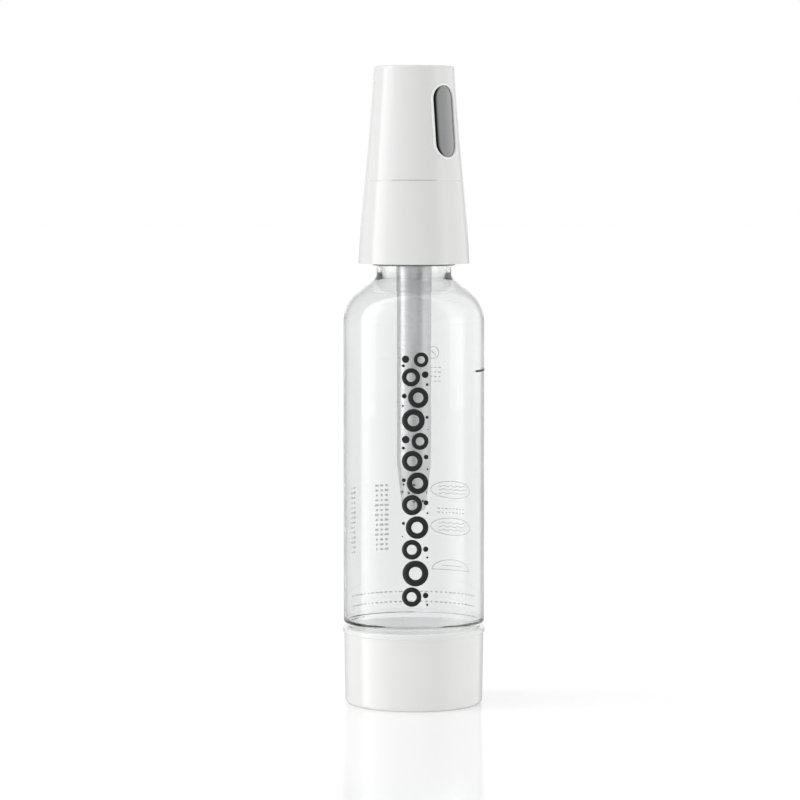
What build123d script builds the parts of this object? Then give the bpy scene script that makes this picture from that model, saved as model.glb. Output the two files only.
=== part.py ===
"""Handheld soda carbonator, in millimetres, +Z up, standing on z = 0 with its axis on Z.

A clear PET bottle stands in a white base cup. A two-piece white head screws on its neck. The lower
piece holds the valve body, the piercing pin and the wand that carries the gas down into the drink.
The upper piece is the charger cap: it unscrews, and holds a standard 8 g CO2 charger, neck down,
behind a tinted window. Every level follows from the bottle and from the charger's length.
"""

import os
from math import cos, pi, radians, sin, sqrt

from build123d import *

# ---- fits -------------------------------------------------------------------------------------
seat_gap = 0.2  # a seated piece and its seat
glue_gap = 0.1  # a bonded piece and its seat
thread_clearance = 0.3  # between the crests of a pair of threads
slide_clearance = 0.15  # a turned spigot in its bore

# ---- bottle and base cup ----------------------------------------------------------------------
bottle_radius = 42.0
bottle_wall = 1.3
body_height = 239.7  # where the straight wall and the shoulder's slope would meet
shoulder_height = 15.4
shoulder_fillet = 22.0
neck_fillet = 5.0
finish_radius = 20.9
finish_height = 21.5
neck_step = 1.4  # the neck stands out below the finish
neck_wall = 2.0
neck_straight = 6.4
lip_fillet = 0.6
neck_thread_pitch = 3.2
neck_thread_turns = 2.25
neck_thread_depth = 1.1
neck_thread_width = 2.2
neck_thread_start = 4.5  # above the finish
vent_slot_width = 2.4
vent_slots = 4

cup_height = 46.0
cup_wall = 2.0
cup_floor = 2.6
cup_rim_inset = 0.3  # the cup's wall, under its bead, inside the bottle's own
cup_taper = 0.7
cup_bead_proud = 0.7
cup_bead_height = 3.4
cup_foot_fillet = 2.5
cup_foot_width = 5.0
cup_recess = 1.0
cup_support_inset = 17.0  # the rib, inside the cup's foot
cup_support_width = 1.6
cup_drain_radius = 2.0
cup_drains = 4
dome_height = 30.0

# ---- head: seals, neck nut and valve body --------------------------------------------------------
seal_width = 2.5
seal_thickness = 2.0
washer_thickness = 0.8
flange_thickness = 4.0
core_inset = 7.4  # from the flange's edge to the core's side
nut_wall = 2.5
nut_web = 2.5
nut_plate = 1.8
nut_lip = 2.0
nut_foot_chamfer = 1.6
nut_thread_turns = 2.0
nut_screw_inset = 2.8  # the screws' circle, inside the flange's edge
nut_screw_radius = 1.25
nut_screw_head_radius = 2.4
nut_screw_head_height = 1.9
nut_screw_length = 5.5
nut_screws = 4
shelf_height = 17.1
head_wall = 2.5
shelf_thickness = 2.5
shell_sleeve_wall = 1.6
ring_nut_width = 5.15
ring_nut_height = 2.6
ring_nut_notch = 3.0
ring_nut_notches = 4

pin_level = 13.2  # the pin's seat above the valve body's flange
pin_radius = 1.0
pin_bore_radius = 0.45
pin_flange_margin = 0.7  # beyond the charger's neck
pin_flange_thickness = 1.5
pin_reach = 3.0
retainer_thickness = 3.0
retainer_bore = 1.6
retainer_spanner_hole = 0.7
charger_seal_thickness = 2.5
pin_o_ring_section = 0.38
pin_o_ring_inset = 1.0
filter_radius = 2.4
filter_thickness = 0.8
gas_channel_radius = 1.2

boss_length = 23.8
check_chamber_radius = 3.2
check_chamber_length = 18.0
check_ball_radius = 2.4
check_plug_length = 4.0
check_plug_hole = 0.55
check_spring_wire = 0.3
relief_radius = 2.8
relief_wall = 1.8  # between the relief valve and the core's side
relief_depth = 15.2
relief_seat_length = 3.0
relief_port = 0.8
relief_port_shift = 1.2  # outwards, clear of the wand's collar
relief_pad_thickness = 0.6
relief_head_thickness = 1.6
relief_stem_radius = 0.9
relief_stem_length = 4.0
relief_spring_wire = 0.3
relief_vent_level = 10.2
relief_vent_radius = 1.3

# ---- wand ---------------------------------------------------------------------------------------
wand_length = 148.0  # below the head's lower edge, less the small step up inside it
wand_radius = 10.2
wand_wall = 1.0
collar_proud = 0.3
collar_wall = 2.35
collar_step = 2.0
collar_exposed = 17.0
spigot_length = 8.0
tip_length = 29.0
tip_taper = 3.4
tip_end_fillet = 3.5
tip_hole_radius = 0.8
tip_hole_rows = 3
tip_holes_per_row = 8
o_ring_section = 0.55

# ---- charger, a standard 8 g steel capsule ---------------------------------------------------------
charger_length = 65.5
charger_radius = 8.95
charger_neck_radius = 4.3
charger_neck_length = 8.6
charger_shoulder = 6.0
charger_wall = 1.6
charger_foil = 0.8
charger_clearance = 0.55

# ---- charger cap -----------------------------------------------------------------------------------
seam_level = 3.0  # the seam above the shell's shelf
seam_gap = 0.6
cap_wall = 2.4
cap_roof = 2.7
cap_top_fillet = 1.2
cap_thread_pitch = 2.0
cap_thread_turns = 3.0
cap_thread_depth = 0.8
cap_thread_width = 1.3
cap_thread_start = 1.6  # above the seam
cap_thread_length = 9.6
sleeve_wall = 1.7
sleeve_roof = 2.0
socket_wall = 2.0
socket_web = 1.7
sleeve_flange_thickness = 2.0
sleeve_flange_level = 3.3  # above the cap's lower edge
sleeve_slot_width = 9.0
pad_thickness = 2.5
pad_inset = 1.95
disc_thickness = 0.8
disc_inset = 0.95
cap_screw_radius = 1.1
cap_screw_length = 8.0
cap_screw_head_radius = 2.0
cap_screw_head_height = 1.4
cap_boss_radius = 2.6
cap_boss_height = 11.0
cap_boss_skin = 0.4  # of the cap's wall, outside the bosses
cap_screws = 3
window_height = 43.5
window_width = 17.5
window_centre = 34.4  # above the cap's lower edge
window_azimuth = -45.0
window_edge = 0.35
lens_thickness = 1.6
lens_margin = 2.5
pane_inset = 0.45  # from the cap's side to the raised pane's face

# ---- head outline: the side of both white shells is one curve ----------------------------------------
head_skirt = 19.9  # from the bottle's lip down to the head's lower edge
head_room = 7.35  # between the neck nut and the head's side, at its foot
head_foot_lean = 1.9  # how far the curve's lower handle leans inwards
head_top_room = 12.8  # between the charger's sleeve and the head's side, at its top
head_top_lean = 2.0
edge_fillet = 0.25

# ---- radii that follow ---------------------------------------------------------------------------------
neck_radius = finish_radius + neck_step
neck_bore_radius = finish_radius - neck_wall
neck_crest_radius = finish_radius + neck_thread_depth
nut_bore = neck_crest_radius + thread_clearance + neck_thread_depth - 0.1
nut_radius = nut_bore + nut_wall
flange_radius = finish_radius + 0.7
nut_screw_circle = flange_radius - nut_screw_inset
cup_rim_radius = bottle_radius - cup_rim_inset
cup_foot_radius = cup_rim_radius - cup_taper
cup_bead_radius = cup_rim_radius + cup_bead_proud
cup_support_radius = cup_foot_radius - cup_support_inset
step_radius = cup_rim_radius - cup_wall - 2 * seat_gap
collar_radius = wand_radius + collar_proud
boss_radius = collar_radius - collar_wall - slide_clearance
collar_bore = boss_radius - collar_step
tip_end_radius = wand_radius - tip_taper
core_radius = flange_radius - core_inset
pin_flange_radius = charger_neck_radius + pin_flange_margin
pin_o_ring_radius = pin_flange_radius - pin_o_ring_inset
charger_well = pin_flange_radius + 0.4
relief_offset = core_radius - relief_wall - relief_radius
ring_nut_radius = core_radius + slide_clearance + ring_nut_width
cap_crest_radius = core_radius - 0.1
cap_root_radius = cap_crest_radius - cap_thread_depth
socket_bore = cap_crest_radius + thread_clearance + cap_thread_depth - 0.1
socket_radius = socket_bore + socket_wall
sleeve_bore = charger_radius + charger_clearance
sleeve_radius = sleeve_bore + sleeve_wall
pad_radius = charger_radius - pad_inset
disc_radius = charger_radius - disc_inset
head_foot_radius = nut_radius + head_room
head_top_radius = sleeve_radius + head_top_room

# ---- levels --------------------------------------------------------------------------------------------
dome_z = cup_floor + cup_recess + seat_gap
step_z = cup_height + 1.3
neck_z = body_height + shoulder_height
finish_z = neck_z + neck_straight
lip_z = finish_z + finish_height
washer_z = lip_z + seal_thickness
flange_z = washer_z + washer_thickness
web_z = flange_z + flange_thickness
web_top = web_z + nut_web
shelf_z = web_top + shelf_height
seam_z = shelf_z + seam_level
pin_z = flange_z + pin_level
retainer_z = pin_z + pin_flange_thickness
charger_seal_z = retainer_z + retainer_thickness
charger_z = charger_seal_z + charger_seal_thickness
charger_top = charger_z + charger_length
pad_z = charger_top + 0.3
disc_z = pad_z + pad_thickness
sleeve_roof_z = disc_z + disc_thickness
sleeve_top = sleeve_roof_z + sleeve_roof
cap_ceiling = sleeve_top + seat_gap
head_top = cap_ceiling + cap_roof
head_foot = lip_z - head_skirt
cap_foot = seam_z + seam_gap / 2
thread_top = seam_z + cap_thread_length
boss_z = flange_z - boss_length
check_seat_z = boss_z + check_chamber_length
collar_top = flange_z - 0.3
collar_foot = head_foot - collar_exposed
tip_z = head_foot - wand_length
tip_top = tip_z + tip_length
nut_foot = finish_z + 0.5
neck_thread_z = finish_z + neck_thread_start
cap_thread_z = seam_z + cap_thread_start
window_z = cap_foot + window_centre

# The side of the head, as the four control points (radius, height) of a cubic curve.
handle = (head_top - head_foot) / 3
outline = [
    (head_foot_radius, head_foot),
    (head_foot_radius - head_foot_lean, head_foot + handle),
    (head_top_radius + head_top_lean, head_top - handle),
    (head_top_radius, head_top),
]


def outline_radius(z):
    """Outer radius of the head at height z. The handles are a third of the height, so z runs evenly."""
    t = (z - head_foot) / (head_top - head_foot)
    weights = ((1 - t) ** 3, 3 * t * (1 - t) ** 2, 3 * t * t * (1 - t), t**3)
    return sum(w * point[0] for w, point in zip(weights, outline))


def band(inner, outer, low, high, mode=Mode.ADD):
    """A rectangle of a turned piece's half section, from one radius and height to another."""
    with Locations((inner, low)):
        Rectangle(outer - inner, high - low, align=(Align.MIN, Align.MIN), mode=mode)


def head_section(inset, low, high):
    """Half section of the head, from its axis to its side less the inset, between two heights."""
    with BuildSketch(Plane.XZ) as section:
        with BuildLine():
            side = Bezier(*[(r - inset, z) for r, z in outline])
            Polyline(side @ 1, (0, head_top), (0, head_foot), side @ 0)
        make_face()
        band(0, 2 * head_foot_radius, low, high, mode=Mode.INTERSECT)
    return section.sketch


def thread_ridge(root_radius, depth, width, pitch, turns, start, inward=False):
    """A right-hand helical ridge that stands on a wall of the given radius."""
    sink = 0.3
    side = -1 if inward else 1
    with BuildPart() as ridge:
        with BuildLine() as path:
            Helix(pitch, pitch * turns, root_radius - side * sink, center=(0, 0, start))
        tangent = path.line % 0
        across = Vector(side, 0, 0).cross(tangent)
        with BuildSketch(Plane(origin=path.line @ 0, x_dir=across, z_dir=tangent)):
            Trapezoid(width, depth + sink, 60, align=(Align.CENTER, Align.MIN))
        sweep(path=path.line, is_frenet=True)
    return ridge.part


def coil_spring(wire, radius, low, high, turns, x=0):
    """A round-wire spring whose wire lies between two heights."""
    with BuildPart() as spring:
        with BuildLine() as path:
            Helix((high - low - 2 * wire) / turns, high - low - 2 * wire, radius, center=(x, 0, low + wire))
        with BuildSketch(Plane(origin=path.line @ 0, z_dir=path.line % 0)):
            Circle(wire)
        sweep(path=path.line, is_frenet=True)
    return spring.part


def o_ring(radius, section, z):
    """A round-section seal, its middle at height z."""
    with BuildPart() as ring:
        with BuildSketch(Plane.XZ):
            with Locations((radius, z)):
                Circle(section)
        revolve(axis=Axis.Z)
    return ring.part


def radial_plane(azimuth, z):
    """A plane through the axis at height z that faces outwards at the given azimuth, its y axis up."""
    a = radians(azimuth)
    return Plane(origin=(0, 0, z), x_dir=(-sin(a), cos(a), 0), z_dir=(cos(a), sin(a), 0))


# ==== bottle =================================================================================================
neck_thread = thread_ridge(
    finish_radius,
    neck_thread_depth,
    neck_thread_width,
    neck_thread_pitch,
    neck_thread_turns,
    neck_thread_z,
)
with BuildPart() as bottle:
    with BuildSketch(Plane.XZ):
        with BuildLine():
            dome = EllipticalCenterArc((0, dome_z + dome_height), step_radius, dome_height, -90, arc_size=90)
            lower = Line(dome @ 1, (step_radius, step_z))
            step = bottle_radius - step_radius
            flare = RadiusArc(lower @ 1, (step_radius + step / 2, step_z + step / 2), step / 2)
            turn = RadiusArc(flare @ 1, (bottle_radius, step_z + step), -step / 2)
            side = FilletPolyline(
                turn @ 1,
                (bottle_radius, body_height),
                (neck_radius, neck_z),
                (neck_radius, finish_z),
                radius=[shoulder_fillet, neck_fillet],
            )
            Polyline(
                side @ 1,
                (finish_radius, finish_z),
                (finish_radius, lip_z),
                (0, lip_z),
                (0, dome_z),
            )
        make_face()
    revolve(axis=Axis.Z)
    add(neck_thread)
    with BuildSketch(Plane.XZ):
        with BuildLine():
            inner_radius = bottle_radius - bottle_wall
            inner_step = step_radius - bottle_wall
            inner_dome = EllipticalCenterArc(
                (0, dome_z + dome_height), inner_step, dome_height - bottle_wall, -90, arc_size=90
            )
            inner_lower = Line(inner_dome @ 1, (inner_step, step_z + bottle_wall))
            inner_side = FilletPolyline(
                inner_lower @ 1,
                (inner_radius, step_z + bottle_wall + step),
                (inner_radius, body_height - bottle_wall / 2),
                (neck_bore_radius, neck_z + bottle_wall),
                (neck_bore_radius, lip_z),
                radius=[bottle_wall, shoulder_fillet - bottle_wall, neck_fillet + bottle_wall],
            )
            Polyline(inner_side @ 1, (0, lip_z), (0, dome_z + bottle_wall))
        make_face()
    revolve(axis=Axis.Z, mode=Mode.SUBTRACT)
    # Vent slots across the thread let the pressure out before the head comes off.
    with PolarLocations(finish_radius, vent_slots, start_angle=45):
        with Locations((0, 0, finish_z + finish_height / 2)):
            Box(
                2 * neck_thread_depth,
                vent_slot_width,
                finish_height,
                align=(Align.MIN, Align.CENTER, Align.CENTER),
                mode=Mode.SUBTRACT,
            )
    lip_edges = bottle.edges().filter_by(GeomType.CIRCLE).group_by(Axis.Z)[-1]
    fillet(lip_edges, lip_fillet)

# ==== base cup ===============================================================================================
with BuildPart() as base_cup:
    with BuildSketch(Plane.XZ):
        with BuildLine():
            bead_z = cup_height - cup_bead_height
            Polyline(
                (0, 0),
                (cup_foot_radius, 0),
                (cup_rim_radius, bead_z),
                (cup_bead_radius, bead_z + 0.5),
                (cup_bead_radius, cup_height),
                (cup_rim_radius - cup_wall, cup_height),
                (cup_foot_radius - cup_wall, cup_floor + cup_recess),
                (0, cup_floor + cup_recess),
                (0, 0),
            )
        make_face()
    revolve(axis=Axis.Z)
    foot_edge = base_cup.edges().filter_by(GeomType.CIRCLE).group_by(Axis.Z)[0]
    fillet(foot_edge, cup_foot_fillet)
    bead_edges = base_cup.edges().filter_by(
        lambda e: e.geom_type == GeomType.CIRCLE and abs(e.radius - cup_bead_radius) < 0.01
    )
    fillet(bead_edges.group_by(Axis.Z)[-1], cup_bead_height * 0.3)
    # The floor is raised inside a ring foot, and a rib on it carries the bottle's dome.
    recess_radius = cup_foot_radius - cup_foot_fillet - cup_foot_width
    with BuildSketch():
        Circle(recess_radius)
    extrude(amount=cup_recess, mode=Mode.SUBTRACT)
    reach = cup_support_radius / step_radius
    dome_at_rib = dome_z + dome_height * (1 - sqrt(1 - reach**2))
    with BuildSketch(Plane.XZ):
        band(
            cup_support_radius,
            cup_support_radius + cup_support_width,
            cup_recess + cup_floor / 2,
            dome_at_rib - seat_gap,
        )
    revolve(axis=Axis.Z)
    with PolarLocations((cup_support_radius + recess_radius) / 2, cup_drains, start_angle=45):
        Cylinder(cup_drain_radius, 4 * cup_floor, mode=Mode.SUBTRACT)

# ==== neck seal and slip washer ==============================================================================
with BuildPart() as neck_seal:
    with BuildSketch(Plane.XZ):
        band(neck_bore_radius, neck_bore_radius + seal_width, lip_z, washer_z)
    revolve(axis=Axis.Z)

with BuildPart() as slip_washer:
    with BuildSketch(Plane.XZ):
        band(neck_bore_radius, neck_bore_radius + seal_width, washer_z, flange_z)
    revolve(axis=Axis.Z)

# ==== neck nut ===============================================================================================
plate_z = nut_foot + nut_lip
nut_thread = thread_ridge(
    nut_bore,
    neck_thread_depth - 0.1,
    neck_thread_width,
    neck_thread_pitch,
    nut_thread_turns,
    neck_thread_z + neck_thread_pitch / 2,
    inward=True,
)
plate_radius = outline_radius(plate_z + nut_plate) - head_wall - seat_gap
with BuildPart() as neck_nut:
    with BuildSketch(Plane.XZ):
        band(core_radius + seat_gap, nut_radius, nut_foot, web_top)
        band(nut_radius - 1, plate_radius, plate_z, plate_z + nut_plate)
        band(0, nut_bore, nut_foot, lip_z - 1.5, mode=Mode.SUBTRACT)
        band(0, flange_radius + seat_gap, lip_z - 1.5, web_z, mode=Mode.SUBTRACT)
    revolve(axis=Axis.Z)
    add(nut_thread)
    with PolarLocations(nut_screw_circle, nut_screws, start_angle=45):
        with Locations((0, 0, web_z)):
            Cylinder(
                nut_screw_radius + slide_clearance,
                nut_web,
                align=(Align.CENTER, Align.CENTER, Align.MIN),
                mode=Mode.SUBTRACT,
            )
    foot_edges = neck_nut.edges().filter_by(GeomType.CIRCLE).group_by(Axis.Z)[0]
    chamfer(foot_edges.sort_by(SortBy.RADIUS)[-1], nut_foot_chamfer)

with BuildPart() as nut_screw_set:
    with PolarLocations(nut_screw_circle, nut_screws, start_angle=45):
        with Locations((0, 0, web_top)):
            Cylinder(
                nut_screw_head_radius,
                nut_screw_head_height,
                align=(Align.CENTER, Align.CENTER, Align.MIN),
            )
            Cylinder(
                nut_screw_radius,
                nut_screw_length,
                align=(Align.CENTER, Align.CENTER, Align.MAX),
            )
    head_tops = nut_screw_set.faces().group_by(Axis.Z)[-1]
    for top in head_tops:
        with BuildSketch(Plane(top)):
            RegularPolygon(1.25, 6)
        extrude(amount=-1.2, mode=Mode.SUBTRACT)

# ==== valve body =============================================================================================
body_thread = thread_ridge(
    cap_root_radius,
    cap_thread_depth,
    cap_thread_width,
    cap_thread_pitch,
    cap_thread_turns,
    cap_thread_z,
)
with BuildPart() as valve_body:
    with BuildSketch(Plane.XZ):
        band(0, boss_radius, boss_z, flange_z)
        band(0, flange_radius, flange_z, web_z)
        band(0, core_radius, web_z, seam_z)
        band(0, cap_root_radius, seam_z, thread_top)
        # From the top down: charger well, pin pocket, filter seat, gas channel and check chamber.
        band(0, charger_radius + 0.45, charger_z + charger_neck_length - 0.6, thread_top, mode=Mode.SUBTRACT)
        band(0, charger_well, pin_z, thread_top, mode=Mode.SUBTRACT)
        band(0, filter_radius + seat_gap / 2, pin_z - filter_thickness, pin_z, mode=Mode.SUBTRACT)
        band(0, gas_channel_radius, boss_z, pin_z, mode=Mode.SUBTRACT)
        band(0, check_chamber_radius, boss_z, check_seat_z, mode=Mode.SUBTRACT)
        groove = 2 * pin_o_ring_section + 0.1
        band(
            pin_o_ring_radius - pin_o_ring_section - 0.1,
            pin_o_ring_radius + pin_o_ring_section + 0.1,
            pin_z - groove,
            pin_z,
            mode=Mode.SUBTRACT,
        )
        band(boss_radius - 2 * o_ring_section, boss_radius, boss_z + 2, boss_z + 4, mode=Mode.SUBTRACT)
    revolve(axis=Axis.Z)
    add(body_thread)
    with PolarLocations(nut_screw_circle, nut_screws, start_angle=45):
        with Locations((0, 0, web_z)):
            Cylinder(
                nut_screw_radius + slide_clearance / 2,
                nut_screw_length - nut_web + 0.4,
                align=(Align.CENTER, Align.CENTER, Align.MAX),
                mode=Mode.SUBTRACT,
            )
    with Locations((relief_offset, 0, flange_z)):
        Cylinder(
            relief_radius,
            relief_depth,
            align=(Align.CENTER, Align.CENTER, Align.MIN),
            mode=Mode.SUBTRACT,
        )
    with BuildSketch(Plane.YZ.offset(relief_offset)):
        with Locations((0, flange_z + relief_vent_level)):
            Circle(relief_vent_radius)
    extrude(amount=core_radius, mode=Mode.SUBTRACT)

# ==== head shell and its ring nut ============================================================================
shell_top = seam_z - seam_gap / 2
with BuildPart() as head_shell:
    add(revolve(head_section(0, head_foot, shell_top), axis=Axis.Z, mode=Mode.PRIVATE))
    ends = head_shell.edges().filter_by(GeomType.CIRCLE)
    fillet(ends, edge_fillet)
    add(
        revolve(
            head_section(head_wall, head_foot, shelf_z - shelf_thickness),
            axis=Axis.Z,
            mode=Mode.PRIVATE,
        ),
        mode=Mode.SUBTRACT,
    )
    add(
        revolve(head_section(head_wall, shelf_z, shell_top), axis=Axis.Z, mode=Mode.PRIVATE),
        mode=Mode.SUBTRACT,
    )
    with BuildSketch(Plane.XZ):
        band(0, core_radius + 0.3 + shell_sleeve_wall, web_top, shelf_z)
    revolve(axis=Axis.Z)
    with BuildSketch(Plane.XZ):
        band(0, core_radius + 0.3, web_top - 1, shelf_z + 1)
    revolve(axis=Axis.Z, mode=Mode.SUBTRACT)
    with BuildSketch(Plane.YZ):
        with Locations((0, flange_z + relief_vent_level)):
            Circle(relief_vent_radius + 0.2)
    extrude(amount=core_radius + shell_sleeve_wall + 1, mode=Mode.SUBTRACT)

with BuildPart() as shell_ring_nut:
    with BuildSketch(Plane.XZ):
        band(core_radius + slide_clearance, ring_nut_radius, shelf_z, shelf_z + ring_nut_height)
    revolve(axis=Axis.Z)
    with PolarLocations(ring_nut_radius, ring_nut_notches):
        with Locations((0, 0, shelf_z)):
            Box(
                ring_nut_notch,
                ring_nut_notch,
                4 * ring_nut_height,
                mode=Mode.SUBTRACT,
            )

# ==== piercing pin, its retainer, seals and filter ===========================================================
pin_tip = charger_z + pin_reach
with BuildPart() as piercing_pin:
    with BuildSketch(Plane.XZ):
        band(0, pin_flange_radius, pin_z, retainer_z)
        with BuildLine():
            Polyline(
                (0, pin_z),
                (pin_radius, pin_z),
                (pin_radius, pin_tip - 1.4),
                (pin_bore_radius + 0.1, pin_tip),
                (0, pin_tip),
                close=True,
            )
        make_face()
        band(0, pin_bore_radius, pin_z, pin_tip, mode=Mode.SUBTRACT)
    revolve(axis=Axis.Z)

with BuildPart() as pin_retainer:
    with BuildSketch(Plane.XZ):
        band(retainer_bore, charger_well - 0.1, retainer_z, charger_seal_z)
    revolve(axis=Axis.Z)
    with PolarLocations((retainer_bore + charger_well) / 2, 2, start_angle=90):
        with Locations((0, 0, charger_seal_z)):
            Cylinder(retainer_spanner_hole, 3.0, mode=Mode.SUBTRACT)

with BuildPart() as charger_seal:
    with BuildSketch(Plane.XZ):
        band(pin_radius + slide_clearance, pin_flange_radius, charger_seal_z, charger_z)
    revolve(axis=Axis.Z)

with BuildPart() as gas_filter:
    with BuildSketch(Plane.XY.offset(pin_z - filter_thickness)):
        Circle(filter_radius)
    extrude(amount=filter_thickness)

pin_o_ring = o_ring(pin_o_ring_radius, pin_o_ring_section, pin_z - pin_o_ring_section - 0.02)

# ==== check valve ============================================================================================
ball_z = check_seat_z - sqrt(check_ball_radius**2 - gas_channel_radius**2) - 0.1
spring_radius = check_ball_radius - 0.5
with BuildPart() as check_ball:
    with Locations((0, 0, ball_z)):
        Sphere(check_ball_radius)

with BuildPart() as check_plug:
    with BuildSketch(Plane.XY.offset(boss_z)):
        Circle(check_chamber_radius - 0.05)
        with PolarLocations(check_chamber_radius * 0.75, 3):
            Circle(check_plug_hole, mode=Mode.SUBTRACT)
    extrude(amount=check_plug_length)

spring_rise = sqrt((check_ball_radius + check_spring_wire + 0.1) ** 2 - spring_radius**2)
check_spring = coil_spring(
    check_spring_wire,
    spring_radius,
    boss_z + check_plug_length + 0.05,
    ball_z - spring_rise + check_spring_wire,
    5,
)

# ==== relief valve ===========================================================================================
relief_pad_z = flange_z + relief_seat_length
relief_head_z = relief_pad_z + relief_pad_thickness
relief_spring_z = relief_head_z + relief_head_thickness
with BuildPart() as relief_seat:
    with BuildSketch(Plane.XY.offset(flange_z)):
        with Locations((relief_offset, 0)):
            Circle(relief_radius - 0.05)
        with Locations((relief_offset + relief_port_shift, 0)):
            Circle(relief_port, mode=Mode.SUBTRACT)
    extrude(amount=relief_seat_length)

with BuildPart() as relief_pad:
    with BuildSketch(Plane.XY.offset(relief_pad_z)):
        with Locations((relief_offset, 0)):
            Circle(relief_radius - 0.5)
    extrude(amount=relief_pad_thickness)

with BuildPart() as relief_poppet:
    with BuildSketch(Plane.XY.offset(relief_head_z)):
        with Locations((relief_offset, 0)):
            Circle(relief_radius - 0.4)
    extrude(amount=relief_head_thickness)
    with BuildSketch(Plane.XY.offset(relief_spring_z)):
        with Locations((relief_offset, 0)):
            Circle(relief_stem_radius)
    extrude(amount=relief_stem_length)

relief_spring = coil_spring(
    relief_spring_wire,
    relief_radius - relief_spring_wire - 0.5,
    relief_spring_z + 0.05,
    flange_z + relief_depth - 0.05,
    5,
    x=relief_offset,
)

# ==== wand ===================================================================================================
tube_bore = wand_radius - wand_wall
spigot_radius = tube_bore - 0.1
with BuildPart() as wand_collar:
    with BuildSketch(Plane.XZ):
        band(boss_radius + slide_clearance, collar_radius, boss_z - 0.3, collar_top)
        band(collar_bore, collar_radius, collar_foot, boss_z - 0.3)
        band(collar_bore, spigot_radius, collar_foot - spigot_length, collar_foot)
    revolve(axis=Axis.Z)
    rim = wand_collar.edges().filter_by(
        lambda e: e.geom_type == GeomType.CIRCLE and abs(e.radius - collar_radius) < 0.01
    )
    chamfer(rim, 0.25)

collar_o_ring = o_ring(boss_radius - o_ring_section + slide_clearance - 0.05, o_ring_section - 0.02, boss_z + 3)

with BuildPart() as wand_tube:
    with BuildSketch(Plane.XZ):
        band(tube_bore, wand_radius, tip_top, collar_foot)
    revolve(axis=Axis.Z)

with BuildPart() as wand_tip:
    with BuildSketch(Plane.XZ):
        with BuildLine():
            side = FilletPolyline(
                (wand_radius, tip_top),
                (tip_end_radius, tip_z),
                (0, tip_z),
                radius=tip_end_fillet,
            )
            Polyline(side @ 1, (0, tip_top), side @ 0)
        make_face()
        band(0, spigot_radius, tip_top, tip_top + spigot_length)
    revolve(axis=Axis.Z)
    with BuildSketch(Plane.XZ):
        with BuildLine():
            Polyline(
                (0, tip_z + 2.4),
                (tip_end_radius - 3.2, tip_z + 2.4),
                (spigot_radius - 1.6, tip_top),
                (spigot_radius - 1.6, tip_top + spigot_length),
                (0, tip_top + spigot_length),
                close=True,
            )
        make_face()
    revolve(axis=Axis.Z, mode=Mode.SUBTRACT)
    for row in range(tip_hole_rows):
        row_z = tip_z + 6.5 + row * 5.0
        for hole in range(tip_holes_per_row):
            turn_angle = 360 / tip_holes_per_row * (hole + row / 2)
            with BuildSketch(radial_plane(turn_angle, row_z)):
                Circle(tip_hole_radius)
            extrude(amount=wand_radius + 1, mode=Mode.SUBTRACT)

# ==== charger ================================================================================================
with BuildPart() as co2_charger:
    with BuildSketch(Plane.XZ):
        with BuildLine():
            side = FilletPolyline(
                (charger_neck_radius, charger_z),
                (charger_neck_radius, charger_z + charger_neck_length),
                (charger_radius, charger_z + charger_neck_length + charger_shoulder),
                (charger_radius, charger_top - charger_radius),
                radius=[1.2, 5.0],
            )
            end = RadiusArc(side @ 1, (0, charger_top), -charger_radius)
            Polyline(end @ 1, (0, charger_z), side @ 0)
        make_face()
    revolve(axis=Axis.Z)
    with BuildSketch(Plane.XZ):
        with BuildLine():
            cavity = charger_radius - charger_wall
            side = FilletPolyline(
                (charger_neck_radius - charger_wall, charger_z + charger_foil),
                (charger_neck_radius - charger_wall, charger_z + charger_neck_length + 1),
                (cavity, charger_z + charger_neck_length + charger_shoulder + 1),
                (cavity, charger_top - charger_radius),
                radius=[1.2, 3.4],
            )
            end = RadiusArc(side @ 1, (0, charger_top - charger_wall), -cavity)
            Polyline(end @ 1, (0, charger_z + charger_foil), side @ 0)
        make_face()
    revolve(axis=Axis.Z, mode=Mode.SUBTRACT)
    # The foil over the neck is already pierced, so the pin stands in a hole.
    with Locations((0, 0, charger_z)):
        Cylinder(pin_radius + slide_clearance, 4 * charger_foil, mode=Mode.SUBTRACT)

# ==== charger pad and thrust disc ============================================================================
with BuildPart() as charger_pad:
    with BuildSketch(Plane.XY.offset(pad_z)):
        Circle(pad_radius)
    extrude(amount=pad_thickness)

with BuildPart() as thrust_disc:
    with BuildSketch(Plane.XY.offset(disc_z)):
        Circle(disc_radius)
    extrude(amount=disc_thickness)

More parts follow.
